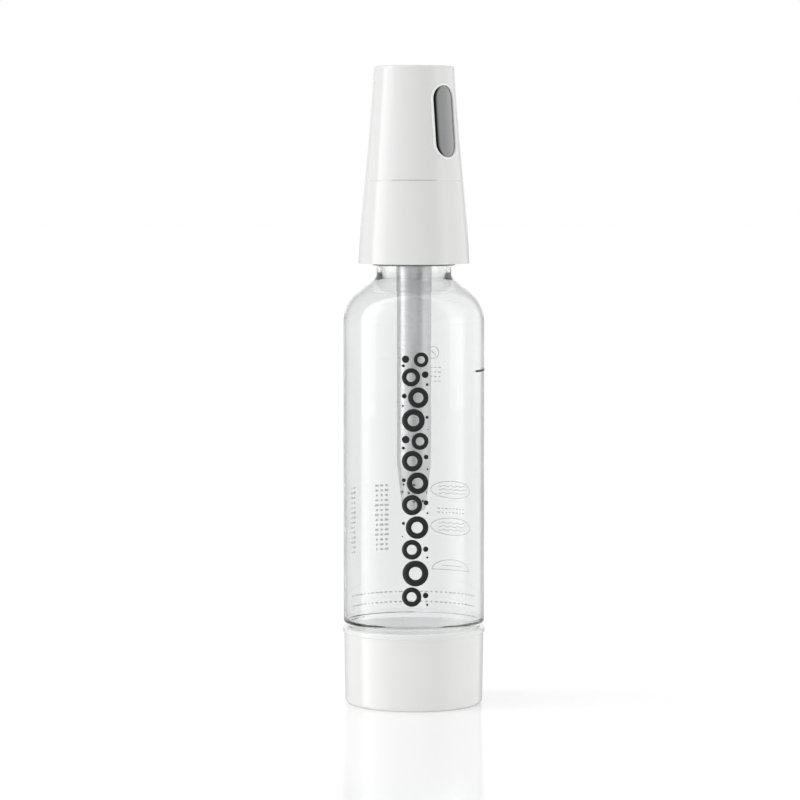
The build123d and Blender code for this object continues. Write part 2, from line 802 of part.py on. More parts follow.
# ==== charger sleeve =========================================================================================
flange_low = cap_foot + sleeve_flange_level
flange_high = flange_low + sleeve_flange_thickness
sleeve_flange_radius = outline_radius(flange_high) - cap_wall - seat_gap
boss_circle = sleeve_flange_radius - cap_screw_head_radius
screw_azimuth = window_azimuth + 180 / cap_screws
socket_top = thread_top + 0.3
sleeve_thread = thread_ridge(
    socket_bore,
    cap_thread_depth - 0.1,
    cap_thread_width,
    cap_thread_pitch,
    cap_thread_turns,
    cap_thread_z + cap_thread_pitch / 2,
    inward=True,
)
with BuildPart() as charger_sleeve:
    with BuildSketch(Plane.XZ):
        band(sleeve_bore, sleeve_radius, socket_top, sleeve_top)
        band(0, sleeve_radius, sleeve_roof_z, sleeve_top)
        band(socket_bore, socket_radius, cap_foot + 0.3, socket_top + socket_web)
        band(sleeve_bore, socket_radius, socket_top, socket_top + socket_web)
        band(socket_radius - 1, sleeve_flange_radius, flange_low, flange_high)
    revolve(axis=Axis.Z)
    add(sleeve_thread)
    with PolarLocations(boss_circle, cap_screws, start_angle=screw_azimuth):
        with Locations((0, 0, flange_low)):
            Cylinder(cap_screw_radius + slide_clearance, 3 * sleeve_flange_thickness, mode=Mode.SUBTRACT)
    with BuildSketch(radial_plane(window_azimuth, window_z)):
        SlotOverall(window_height - 4, sleeve_slot_width, rotation=90)
    extrude(amount=sleeve_radius + 1, mode=Mode.SUBTRACT)

with BuildPart() as cap_screw_set:
    with PolarLocations(boss_circle, cap_screws, start_angle=screw_azimuth):
        with Locations((0, 0, flange_low)):
            Cylinder(
                cap_screw_head_radius,
                cap_screw_head_height,
                align=(Align.CENTER, Align.CENTER, Align.MAX),
            )
            Cylinder(
                cap_screw_radius,
                cap_screw_length,
                align=(Align.CENTER, Align.CENTER, Align.MIN),
            )
    for under in cap_screw_set.faces().group_by(Axis.Z)[0]:
        with BuildSketch(Plane(under)):
            RegularPolygon(1.0, 6)
        extrude(amount=-0.9, mode=Mode.SUBTRACT)

# ==== cap shell and window lens ==============================================================================
with BuildPart() as screw_bosses:
    with PolarLocations(boss_circle, cap_screws, start_angle=screw_azimuth):
        with Locations((0, 0, flange_high)):
            Cylinder(
                cap_boss_radius,
                cap_boss_height,
                align=(Align.CENTER, Align.CENTER, Align.MIN),
            )
    add(
        revolve(head_section(cap_boss_skin, cap_foot, head_top), axis=Axis.Z, mode=Mode.PRIVATE),
        mode=Mode.INTERSECT,
    )

with BuildPart() as cap_shell:
    add(revolve(head_section(0, cap_foot, head_top), axis=Axis.Z, mode=Mode.PRIVATE))
    rims = cap_shell.edges().filter_by(GeomType.CIRCLE).group_by(Axis.Z)
    fillet(rims[0], edge_fillet)
    fillet(rims[-1], cap_top_fillet)
    add(
        revolve(head_section(cap_wall, cap_foot, cap_ceiling), axis=Axis.Z, mode=Mode.PRIVATE),
        mode=Mode.SUBTRACT,
    )
    add(screw_bosses.part)
    with PolarLocations(boss_circle, cap_screws, start_angle=screw_azimuth):
        with Locations((0, 0, flange_high)):
            Cylinder(
                cap_screw_radius + slide_clearance / 2,
                cap_screw_length,
                align=(Align.CENTER, Align.CENTER, Align.MIN),
                mode=Mode.SUBTRACT,
            )
    with BuildSketch(radial_plane(window_azimuth, window_z)):
        SlotOverall(window_height, window_width, rotation=90)
    extrude(amount=2 * head_foot_radius, mode=Mode.SUBTRACT)
    window_edges = cap_shell.edges(Select.LAST).filter_by(
        lambda e: Vector(e.center().X, e.center().Y).length > outline_radius(e.center().Z) - cap_wall / 2
    )
    fillet(window_edges, window_edge)

# The lens is bonded behind the wall. Its raised pane fills the opening.
lens_inset = cap_wall + glue_gap
with BuildPart() as window_pane:
    with BuildSketch(radial_plane(window_azimuth, window_z)):
        SlotOverall(window_height - 2 * glue_gap, window_width - 2 * glue_gap, rotation=90)
    extrude(amount=2 * head_foot_radius)
    add(
        revolve(head_section(pane_inset, cap_foot, cap_ceiling), axis=Axis.Z, mode=Mode.PRIVATE),
        mode=Mode.INTERSECT,
    )
    add(
        revolve(
            head_section(lens_inset + lens_thickness / 2, cap_foot - 1, head_top),
            axis=Axis.Z,
            mode=Mode.PRIVATE,
        ),
        mode=Mode.SUBTRACT,
    )

with BuildPart() as window_lens:
    with BuildSketch(radial_plane(window_azimuth, window_z)):
        SlotOverall(window_height + 2 * lens_margin, window_width + 2 * lens_margin, rotation=90)
    extrude(amount=2 * head_foot_radius)
    add(
        revolve(head_section(lens_inset, cap_foot, cap_ceiling), axis=Axis.Z, mode=Mode.PRIVATE),
        mode=Mode.INTERSECT,
    )
    add(
        revolve(
            head_section(lens_inset + lens_thickness, cap_foot - 1, head_top),
            axis=Axis.Z,
            mode=Mode.PRIVATE,
        ),
        mode=Mode.SUBTRACT,
    )
    add(window_pane.part)

# ==== export =================================================================================================
pieces = {
    "bottle": bottle.part,
    "base_cup": base_cup.part,
    "neck_seal": neck_seal.part,
    "slip_washer": slip_washer.part,
    "neck_nut": neck_nut.part,
    "nut_screws": nut_screw_set.part,
    "valve_body": valve_body.part,
    "head_shell": head_shell.part,
    "shell_ring_nut": shell_ring_nut.part,
    "piercing_pin": piercing_pin.part,
    "pin_retainer": pin_retainer.part,
    "charger_seal": charger_seal.part,
    "gas_filter": gas_filter.part,
    "pin_o_ring": pin_o_ring,
    "check_ball": check_ball.part,
    "check_plug": check_plug.part,
    "check_spring": check_spring,
    "relief_seat": relief_seat.part,
    "relief_pad": relief_pad.part,
    "relief_poppet": relief_poppet.part,
    "relief_spring": relief_spring,
    "wand_collar": wand_collar.part,
    "collar_o_ring": collar_o_ring,
    "wand_tube": wand_tube.part,
    "wand_tip": wand_tip.part,
    "co2_charger": co2_charger.part,
    "charger_pad": charger_pad.part,
    "thrust_disc": thrust_disc.part,
    "charger_sleeve": charger_sleeve.part,
    "cap_screws": cap_screw_set.part,
    "cap_shell": cap_shell.part,
    "window_lens": window_lens.part,
}
os.makedirs("parts", exist_ok=True)
for name, piece in pieces.items():
    piece.label = name
    export_step(piece, f"parts/{name}.step")
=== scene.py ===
"""Finishes, printed marks, springs and stage for a handheld soda carbonator."""

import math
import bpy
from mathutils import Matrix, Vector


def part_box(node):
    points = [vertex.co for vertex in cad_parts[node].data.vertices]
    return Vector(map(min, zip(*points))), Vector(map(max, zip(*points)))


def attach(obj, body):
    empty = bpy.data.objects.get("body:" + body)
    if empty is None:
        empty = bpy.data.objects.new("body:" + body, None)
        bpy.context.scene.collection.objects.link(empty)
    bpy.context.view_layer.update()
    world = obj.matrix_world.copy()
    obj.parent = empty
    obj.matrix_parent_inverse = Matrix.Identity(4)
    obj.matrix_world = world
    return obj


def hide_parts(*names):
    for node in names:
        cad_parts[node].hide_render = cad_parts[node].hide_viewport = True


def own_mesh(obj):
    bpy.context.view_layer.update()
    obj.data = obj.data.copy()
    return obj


bl_info = {
    "name": "Soda carbonator",
    "version": (1, 0, 0),
    "blender": (4, 5, 0),
    "location": "View3D > Sidebar > Carbonator",
    "description": "Dresses the soda carbonator's solids: finishes, printed marks, springs and stage",
    "category": "Object",
}

import bpy
from bpy.props import FloatProperty, FloatVectorProperty, IntProperty, PointerProperty
from mathutils import Vector

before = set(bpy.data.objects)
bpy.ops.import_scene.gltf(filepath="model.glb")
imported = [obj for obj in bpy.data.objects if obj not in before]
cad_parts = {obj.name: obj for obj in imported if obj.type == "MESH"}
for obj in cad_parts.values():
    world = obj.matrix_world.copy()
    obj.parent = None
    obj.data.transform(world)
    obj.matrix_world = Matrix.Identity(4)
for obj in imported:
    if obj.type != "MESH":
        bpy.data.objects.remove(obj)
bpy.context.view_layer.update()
_, cup_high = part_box("base_cup")
_, bottle_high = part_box("bottle")
cap_low, cap_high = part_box("cap_shell")
_, shell_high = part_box("head_shell")
lens_low, lens_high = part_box("window_lens")
check_low, check_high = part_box("check_spring")
relief_low, relief_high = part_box("relief_spring")

BOTTLE_RADIUS = bottle_high.x

WINDOW_HALF_WIDTH = 0.00875
LENS_EDGE = 0.0025  # how far the lens runs on behind the wall, round the opening
LENS_DEPTH = 0.0025  # from the cap's surface to the lens behind the wall
LENS_MIDDLE = (lens_low.z + lens_high.z) / 2
LENS_HEIGHT = lens_high.z - lens_low.z
WINDOW_STRAIGHT = LENS_HEIGHT / 2 - LENS_EDGE - WINDOW_HALF_WIDTH  # from the middle to a round end
SHADOW_BAND_SHIFT = 0.0030  # how far the window's black painted shadow band is moved across it
SHADOW_BAND_BLUR = 0.0007
SHADOW_BAND_TAPER = 0.004  # the painted shadow band thins out over this much of the window's middle
RIM_RADIUS = 0.0008  # of the bead round the window
RIM_OUTSET = 0.0002  # from the opening's edge to the bead's middle
RIM_SUNK = 0.0001  # from the cap's surface down to the bead's middle
RIM_STEPS = 24  # round each end
LENS_END = 0.0006  # of the lens, near enough its top or foot to measure it there

SEAM_INSET = 0.00018  # from the cap's side to the seam ring
SEAM_WIDTH = 0.0018
SPRING_WIRE = 0.0003
SPRING_TURNS = 6.0
FILL_BEARING = 60.0  # degrees round from the front, to the right
FILL_LENGTH = 34.0  # degrees
FAR_SIDE = 163.5  # bearing of the small marks, in degrees
BUBBLE_BEARING = 0.8  # degrees

FLOOR_REACH = 20.0  # from the object to each edge of the floor

# Brightness of the studio by bearing, in degrees: 0 is towards the camera, 90 to its right.
STUDIO = (
    (-180, 0.52), (-150, 0.55), (-128, 0.66), (-112, 0.56), (-99, 0.60), (-93, 2.10), (-84, 2.20),
    (-74, 1.65), (-60, 1.20), (-45, 0.88), (-32, 0.66), (-10, 0.70), (12, 0.68), (26, 0.46),
    (38, 0.34), (50, 0.50), (64, 0.92), (78, 1.15), (92, 1.05), (106, 1.00), (134, 1.02),
    (147, 0.50), (162, 0.46), (180, 0.52),
)


# ---- node trees ------------------------------------------------------------------------------------


def put(tree, kind, inputs=None, **settings):
    """Adds a node to a tree. An input is given a value, or the socket that feeds it."""
    node = tree.nodes.new(kind)
    for name, value in settings.items():
        setattr(node, name, value)
    for name, value in (inputs or {}).items():
        socket = node.inputs[name]
        if isinstance(value, bpy.types.NodeSocket):
            tree.links.new(value, socket)
        else:
            socket.default_value = value
    return node


def maths(tree, operation, first, second=0.0, third=0.0):
    """One step of arithmetic, as a node's output."""
    return put(
        tree, "ShaderNodeMath", {0: first, 1: second, 2: third}, operation=operation
    ).outputs[0]


def new_material(name):
    """An empty node material with its surface shader, its output and Object coordinates."""
    material = bpy.data.materials.new(name)
    material.use_nodes = True
    tree = material.node_tree
    tree.nodes.clear()
    output = tree.nodes.new("ShaderNodeOutputMaterial")
    shader = tree.nodes.new("ShaderNodeBsdfPrincipled")
    tree.links.new(shader.outputs[0], output.inputs["Surface"])
    place = tree.nodes.new("ShaderNodeTexCoord").outputs["Object"]
    return material, tree, shader, place


def stretched(tree, place, scale):
    """Object coordinates, stretched."""
    return put(tree, "ShaderNodeMapping", {"Vector": place, "Scale": scale}).outputs[0]


def noise(tree, place, scale, detail=2.0, roughness=0.5):
    values = {"Vector": place, "Scale": scale, "Detail": detail, "Roughness": roughness}
    return put(tree, "ShaderNodeTexNoise", values).outputs["Fac"]


def ramped(tree, value, start, end, shape="LINEAR"):
    """Goes from 0 to 1 as the value goes from the start to the end."""
    values = {"Value": value, "From Min": start, "From Max": end}
    return put(tree, "ShaderNodeMapRange", values, interpolation_type=shape).outputs[0]


def between(tree, factor, low, high):
    """A value that follows a noise, which stays near its middle, from low to high."""
    values = {"Value": factor, "From Min": 0.3, "From Max": 0.7, "To Min": low, "To Max": high}
    return put(tree, "ShaderNodeMapRange", values).outputs[0]


def tint(tree, factor, first, second):
    """A colour that follows the factor from the first to the second."""
    node = put(tree, "ShaderNodeMix", {"Factor": factor}, data_type="RGBA")
    node.inputs["A"].default_value = (*first, 1.0)
    node.inputs["B"].default_value = (*second, 1.0)
    return node.outputs["Result"]


def raised(tree, height, strength, distance):
    values = {"Height": height, "Strength": strength, "Distance": distance}
    return put(tree, "ShaderNodeBump", values).outputs[0]


def glaze(shader, **values):
    """Sets the shader's own sockets, such as coat_weight."""
    for name, value in values.items():
        shader.inputs["IOR" if name == "ior" else name.replace("_", " ").title()].default_value = value


def surface(tree, shader, colour, rough, bump):
    """Feeds the three sockets that vary over a surface."""
    for socket, source in (("Base Color", colour), ("Roughness", rough), ("Normal", bump)):
        tree.links.new(source, shader.inputs[socket])


def scaled(colour, factor):
    return tuple(min(1.0, channel * factor) for channel in colour)


# ---- finishes --------------------------------------------------------------------------------------


def moulded_plastic(name, colour, rough, coat=0.0, grain=0.04, texture=900.0):
    """Injection-moulded plastic: slight flow clouding, a fine skin texture and a soft shine."""
    material, tree, shader, place = new_material(name)
    flow = noise(tree, stretched(tree, place, (1.0, 1.0, 0.35)), 38.0, 3.0)
    skin = noise(tree, place, texture, 2.0, 0.6)
    smear = noise(tree, place, 140.0, 3.0)
    surface(
        tree,
        shader,
        tint(tree, flow, scaled(colour, 0.985), scaled(colour, 1.01)),
        between(tree, smear, rough * 0.85, rough * 1.2),
        raised(tree, skin, grain, 0.0002),
    )
    glaze(shader, coat_weight=coat, coat_roughness=0.06, ior=1.5)
    return material


def clear_plastic(name, colour):
    """Blown clear plastic: faint long ripples from the blowing, and light passes to what is inside."""
    material, tree, shader, place = new_material(name)
    ripple = noise(tree, stretched(tree, place, (1.0, 1.0, 0.16)), 70.0, 2.0)
    haze = noise(tree, place, 420.0, 3.0)
    surface(
        tree,
        shader,
        tint(tree, ripple, scaled(colour, 0.985), colour),
        between(tree, haze, 0.012, 0.035),
        raised(tree, ripple, 0.10, 0.0006),
    )
    # The low index stands for a thin wall, which bends what is behind it only slightly.
    glaze(shader, transmission_weight=1.0, ior=1.22, coat_weight=1.0, coat_roughness=0.015)
    rays = tree.nodes.new("ShaderNodeLightPath").outputs
    clear = put(tree, "ShaderNodeBsdfTransparent", {"Color": (0.975, 0.98, 0.98, 1.0)})
    lighting = maths(tree, "MAXIMUM", rays["Is Shadow Ray"], rays["Is Diffuse Ray"])
    shade = put(tree, "ShaderNodeMixShader", {0: lighting, 1: shader.outputs[0], 2: clear.outputs[0]})
    tree.links.new(shade.outputs[0], tree.nodes["Material Output"].inputs["Surface"])
    return material


def tinted_window(name, dark, pale):
    """A mirror-tinted window with painted shade: dark at its inner side, fading to pale at its outer side,
    with faint painted reflection streaks; the same lines raise fine bumps.
    """
    material, tree, shader, place = new_material(name)
    lines = noise(tree, stretched(tree, place, (1.0, 1.0, 0.06)), 420.0, 3.0, 0.6)
    cloud = noise(tree, place, 60.0, 2.0)
    spot = put(tree, "ShaderNodeSeparateXYZ", {0: place}).outputs
    # Painted shade: the colour is darkest at the window's inner side and fades to pale at its outer side,
    # as the light falls across it. Faint vertical lines waver that fade as painted reflection streaks.
    across = maths(tree, "MULTIPLY", maths(tree, "ADD", spot["X"], spot["Y"]), math.sqrt(0.5))
    wavering = maths(tree, "MULTIPLY_ADD", lines, 0.0012, across)
    painted_shade_tint = tint(tree, ramped(tree, wavering, -0.006, 0.008), dark, pale)

    # A black painted shadow band stands for the shade in the opening's recess. It shows as a crescent
    # along the window's inner edge, between the opening's outline and the same outline moved across.
    along = maths(tree, "ABSOLUTE", maths(tree, "SUBTRACT", spot["Z"], LENS_MIDDLE))
    past_end = maths(tree, "MAXIMUM", maths(tree, "SUBTRACT", along, WINDOW_STRAIGHT), 0.0)
    aside = maths(tree, "SUBTRACT", across, SHADOW_BAND_SHIFT)
    squared = maths(tree, "MULTIPLY_ADD", aside, aside, maths(tree, "MULTIPLY", past_end, past_end))
    edge = ramped(
        tree, maths(tree, "SQRT", squared), WINDOW_HALF_WIDTH - SHADOW_BAND_BLUR, WINDOW_HALF_WIDTH + SHADOW_BAND_BLUR
    )
    shadow_band = maths(tree, "MULTIPLY", ramped(tree, across, 0.0, -SHADOW_BAND_TAPER), edge)
    shadow_banded = put(tree, "ShaderNodeMix", {"Factor": shadow_band}, data_type="RGBA")
    tree.links.new(painted_shade_tint, shadow_banded.inputs["A"])
    shadow_banded.inputs["B"].default_value = (0.002, 0.002, 0.002, 1.0)
    surface(
        tree,
        shader,
        shadow_banded.outputs["Result"],
        between(tree, cloud, 0.12, 0.19),
        raised(tree, lines, 0.05, 0.0002),
    )
    glaze(shader, metallic=0.85, ior=1.55, coat_roughness=0.04)
    # The coat fades out over the painted shadow band, so that the painted shadow stays black.
    tree.links.new(between(tree, shadow_band, 0.4, 0.0), shader.inputs["Coat Weight"])
    return material


def turned_metal(name, colour, rough, line=2600.0, depth=0.12):
    """Metal brushed round its axis: fine level lines with slow changes around them."""
    material, tree, shader, place = new_material(name)
    fine = noise(tree, stretched(tree, place, (0.012, 0.012, 1.0)), line, 2.0, 0.7)
    broad = noise(tree, stretched(tree, place, (0.05, 0.05, 1.0)), line * 0.09, 3.0)
    lines = maths(tree, "MULTIPLY_ADD", fine, 0.65, maths(tree, "MULTIPLY", broad, 0.35))
    surface(
        tree,
        shader,
        tint(tree, lines, scaled(colour, 0.78), scaled(colour, 1.11)),
        between(tree, lines, rough * 1.25, rough * 0.8),
        raised(tree, lines, depth, 0.0001),
    )
    glaze(shader, metallic=1.0, anisotropic=0.35)
    return material


def plain_metal(name, colour, rough, speck=700.0):
    """Bright small metal: a fine even grain with slight staining."""
    material, tree, shader, place = new_material(name)
    grain = noise(tree, place, speck, 3.0, 0.6)
    stain = noise(tree, place, 90.0, 3.0)
    surface(
        tree,
        shader,
        tint(tree, stain, scaled(colour, 0.88), colour),
        between(tree, grain, rough * 0.8, rough * 1.25),
        raised(tree, grain, 0.06, 0.0001),
    )
    glaze(shader, metallic=1.0)
    return material


def soft_rubber(name, colour):
    """Moulded rubber: dull, with a dusty bloom."""
    material, tree, shader, place = new_material(name)
    bloom = noise(tree, place, 260.0, 4.0, 0.6)
    skin = noise(tree, place, 1500.0, 2.0)
    surface(
        tree,
        shader,
        tint(tree, bloom, colour, scaled(colour, 1.9)),
        between(tree, bloom, 0.62, 0.8),
        raised(tree, skin, 0.12, 0.0002),
    )
    return material


def printed_ink(name, colour, rough):
    """Screen-printed ink: nearly flat, with a slightly uneven lay."""
    material, tree, shader, place = new_material(name)
    lay = noise(tree, place, 900.0, 3.0, 0.6)
    surface(
        tree,
        shader,
        tint(tree, lay, colour, scaled(colour, 1.5)),
        between(tree, lay, rough * 0.8, rough * 1.2),
        raised(tree, lay, 0.05, 0.0001),
    )
    return material


def sweep_paper(name, colour):
    """The pale glossy sheet that the object stands on, lit a little from below."""
    material, tree, shader, place = new_material(name)
    tooth = noise(tree, place, 240.0, 3.0)
    tree.links.new(tint(tree, tooth, scaled(colour, 0.99), colour), shader.inputs["Base Color"])
    tree.links.new(between(tree, tooth, 0.10, 0.14), shader.inputs["Roughness"])
    rays = tree.nodes.new("ShaderNodeLightPath").outputs
    lift = maths(tree, "MULTIPLY_ADD", rays["Is Transmission Ray"], -0.08, 0.12)
    tree.links.new(lift, shader.inputs["Emission Strength"])
    glaze(shader, emission_color=(1.0, 1.0, 1.0, 1.0))
    return material


def dress(nodes, material):
    """Gives these solids a finish."""
    for name in nodes:
        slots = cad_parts[name].data.materials
        for index in range(len(slots)):
            slots[index] = material


# ---- Geometry Nodes --------------------------------------------------------------------------------

WALL_INPUTS = {"Film": 0.00004, "Gap": 0.00008, "Wall Radius": 0.042, "Azimuth": 0.0, "Ink": "Material"}


def new_tree(name, inputs):
    """A geometry tree. Each named input has a default number, or else is of the kind named."""
    tree = bpy.data.node_groups.new(name, "GeometryNodeTree")
    tree.is_modifier = True
    for label, default in inputs.items():
        kind = {int: "Int", float: "Float"}.get(type(default), default)
        socket = tree.interface.new_socket(label, in_out="INPUT", socket_type="NodeSocket" + kind)
        if kind != default:
            socket.default_value = default
    tree.interface.new_socket("Geometry", in_out="OUTPUT", socket_type="NodeSocketGeometry")
    return tree, tree.nodes.new("NodeGroupInput").outputs


def feed(tree, value, socket):
    if isinstance(value, bpy.types.NodeSocket):
        tree.links.new(value, socket)
    else:
        socket.default_value = value


def random_value(tree, low, high, seed, offset):
    """A random number for each element, from a fixed seed."""
    node = put(tree, "FunctionNodeRandomValue", data_type="FLOAT")
    given = {"Min_001": low, "Max_001": high, "Seed": maths(tree, "ADD", seed, offset)}
    for socket in node.inputs:
        if socket.identifier in given:
            feed(tree, given[socket.identifier], socket)
    return node.outputs[1]


def running_total(tree, value):
    """The sum of the values before each element, and the sum of all."""
    node = put(tree, "GeometryNodeAccumulateField", data_type="FLOAT")
    feed(tree, value, node.inputs[0])
    shown = {socket.name: socket for socket in node.outputs if socket.enabled}
    return shown["Trailing"], shown["Total"]


def own_place(tree):
    """The X, Y and Z of each point."""
    position = tree.nodes.new("GeometryNodeInputPosition").outputs[0]
    return put(tree, "ShaderNodeSeparateXYZ", {0: position}).outputs


def vector(tree, **parts):
    return put(tree, "ShaderNodeCombineXYZ", parts).outputs[0]


def moved(tree, geometry, **where):
    """Puts each point at a Position, or shifts it by an Offset."""
    return put(tree, "GeometryNodeSetPosition", {"Geometry": geometry, **where}).outputs[0]


def circle(tree, radius, steps):
    values = {"Resolution": steps, "Radius": radius}
    return put(tree, "GeometryNodeCurvePrimitiveCircle", values, mode="RADIUS").outputs[0]


def swept(tree, curve, section):
    """A solid with this section along a curve."""
    values = {"Curve": curve, "Profile Curve": section, "Fill Caps": True}
    return put(tree, "GeometryNodeCurveToMesh", values).outputs[0]


def stroke_of(tree, curve, width, film):
    """A flat stroke of even width along a curve."""
    level = put(tree, "GeometryNodeSetCurveNormal", {"Curve": curve}, mode="Z_UP").outputs[0]
    sides = {"Width": width, "Height": film}
    nib = put(tree, "GeometryNodeCurvePrimitiveQuadrilateral", sides, mode="RECTANGLE").outputs[0]
    return swept(tree, level, nib)


def loose_points(tree, count):
    return put(tree, "GeometryNodeMeshLine", {"Count": count}, mode="OFFSET").outputs[0]


def copies_at(tree, points, spot, shape, size):
    """Puts a copy of a shape, of each one's own size, at each point."""
    values = {"Points": moved(tree, points, Position=spot), "Instance": shape, "Scale": size}
    copies = put(tree, "GeometryNodeInstanceOnPoints", values).outputs[0]
    return put(tree, "GeometryNodeRealizeInstances", {"Geometry": copies}).outputs[0]


def finish_tree(tree, geometry, material):
    """Closes a tree: real geometry with its material."""
    real = put(tree, "GeometryNodeRealizeInstances", {"Geometry": geometry}).outputs[0]
    dressed = put(tree, "GeometryNodeSetMaterial", {"Geometry": real, "Material": material})
    tree.links.new(dressed.outputs[0], tree.nodes.new("NodeGroupOutput").inputs[0])


def print_on_wall(tree, geometry, given):
    """Bends flat geometry (x along, y up, z out) on the upright wall of a round body, as ink."""
    place = own_place(tree)
    turn = maths(tree, "ADD", maths(tree, "DIVIDE", place["X"], given["Wall Radius"]), given["Azimuth"])
    reach = maths(tree, "ADD", maths(tree, "ADD", given["Wall Radius"], given["Gap"]), place["Z"])
    on_wall = vector(
        tree,
        X=maths(tree, "MULTIPLY", reach, maths(tree, "SINE", turn)),
        Y=maths(tree, "MULTIPLY", maths(tree, "MULTIPLY", reach, maths(tree, "COSINE", turn)), -1.0),
        Z=place["Y"],
    )
    finish_tree(tree, moved(tree, geometry, Position=on_wall), given["Ink"])


def bubble_tree():
    """Bold rings of many sizes stacked in a column, each at one side with solid beads beside it."""
    inputs = {
        "Low": 0.06,
        "Height": 0.15,
        "Half Width": 0.0078,
        "Rings": 12,
        "Small Ring": 0.0042,
        "Large Ring": 0.0076,
        "Space": 0.0008,
        "Stroke Share": 0.5,
        "Seed": 3,
    }
    tree, given = new_tree("Bubble column", {**inputs, **WALL_INPUTS})
    index = tree.nodes.new("GeometryNodeInputIndex").outputs[0]
    points = loose_points(tree, given["Rings"])
    drawn = random_value(tree, given["Small Ring"], given["Large Ring"], given["Seed"], 0.0)
    pitch = maths(tree, "MULTIPLY_ADD", drawn, 2.0, given["Space"])
    below, total = running_total(tree, pitch)
    fit = maths(tree, "DIVIDE", given["Height"], total)
    radius = maths(tree, "MINIMUM", maths(tree, "MULTIPLY", drawn, fit), given["Half Width"])
    middle = maths(tree, "MULTIPLY", maths(tree, "MULTIPLY_ADD", pitch, 0.5, below), fit)
    high = maths(tree, "ADD", given["Low"], middle)
    # Even rings go to the left and odd ones to the right.
    side = maths(tree, "MULTIPLY_ADD", maths(tree, "MODULO", index, 2.0), 2.0, -1.0)
    room = maths(tree, "SUBTRACT", given["Half Width"], radius)
    ring_x = maths(tree, "MULTIPLY", side, room)

    # Both shapes have a radius of 1, and their copies are scaled.
    share = given["Stroke Share"]
    hoop = circle(tree, maths(tree, "MULTIPLY_ADD", share, -0.5, 1.0), 72)
    ring = stroke_of(tree, hoop, share, given["Film"])
    sizes = {"Vertices": 40, "Radius": 1.0, "Depth": given["Film"]}
    disc = put(tree, "GeometryNodeMeshCylinder", sizes, fill_type="NGON").outputs[0]

    # The larger bead fills the room beside its ring. The smaller one sits under it.
    bead = maths(tree, "MINIMUM", maths(tree, "MULTIPLY", room, 0.8), maths(tree, "MULTIPLY", radius, 0.5))
    bead_x = maths(tree, "MULTIPLY", side, maths(tree, "SUBTRACT", bead, given["Half Width"]))
    lift = random_value(tree, 0.0, 0.4, given["Seed"], 11.0)
    bead_y = maths(tree, "MULTIPLY_ADD", radius, lift, high)
    small = maths(tree, "MULTIPLY", bead, 0.4)
    small_x = maths(tree, "MULTIPLY", side, maths(tree, "SUBTRACT", small, given["Half Width"]))
    small_y = maths(tree, "MULTIPLY_ADD", radius, -0.8, high)
    joined = tree.nodes.new("GeometryNodeJoinGeometry")
    for x, y, size, shape in (
        (ring_x, high, radius, ring),
        (bead_x, bead_y, bead, disc),
        (small_x, small_y, small, disc),
    ):
        spot = vector(tree, X=x, Y=y)
        copies = copies_at(tree, points, spot, shape, vector(tree, X=size, Y=size, Z=1.0))
        tree.links.new(copies, joined.inputs[0])
    print_on_wall(tree, joined.outputs[0], given)
    return tree


def line_print_tree():
    """Prints the drawn lines of a flat curve on a round wall, with one even stroke."""
    inputs = {"Geometry": "Geometry", "Stroke": 0.0006, "Step": 0.0006}
    tree, given = new_tree("Line print", {**inputs, **WALL_INPUTS})
    values = {"Curve": given["Geometry"], "Length": given["Step"]}
    even = put(tree, "GeometryNodeResampleCurve", values, mode="LENGTH").outputs[0]
    print_on_wall(tree, stroke_of(tree, even, given["Stroke"], given["Film"]), given)
    return tree


def dash_tree():
    """Rows of short plain dashes of random length on a round wall."""
    inputs = {
        "Low": 0.0,
        "Rows": 2,
        "Row Pitch": 0.005,
        "Dashes": 20,
        "Dash Pitch": 0.003,
        "Shortest": 0.35,
        "Longest": 0.85,
        "Dash Height": 0.0008,
        "Seed": 1,
    }
    tree, given = new_tree("Dash rows", {**inputs, **WALL_INPUTS})
    index = tree.nodes.new("GeometryNodeInputIndex").outputs[0]
    points = loose_points(tree, maths(tree, "MULTIPLY", given["Rows"], given["Dashes"]))
    row = maths(tree, "FLOOR", maths(tree, "DIVIDE", maths(tree, "ADD", index, 0.5), given["Dashes"]))
    place = maths(tree, "SUBTRACT", index, maths(tree, "MULTIPLY", row, given["Dashes"]))
    centred = maths(tree, "SUBTRACT", place, maths(tree, "MULTIPLY_ADD", given["Dashes"], 0.5, -0.5))
    spot = vector(
        tree,
        X=maths(tree, "MULTIPLY", centred, given["Dash Pitch"]),
        Y=maths(tree, "MULTIPLY_ADD", row, given["Row Pitch"], given["Low"]),
    )
    share = random_value(tree, given["Shortest"], given["Longest"], given["Seed"], 0.0)
    extent = vector(tree, X=given["Dash Pitch"], Y=given["Dash Height"], Z=given["Film"])
    # The faces along a dash let it bend with the wall.
    dash = put(tree, "GeometryNodeMeshCube", {"Size": extent, "Vertices X": 4}).outputs[0]
    print_on_wall(tree, copies_at(tree, points, spot, dash, vector(tree, X=share, Y=1.0, Z=1.0)), given)
    return tree


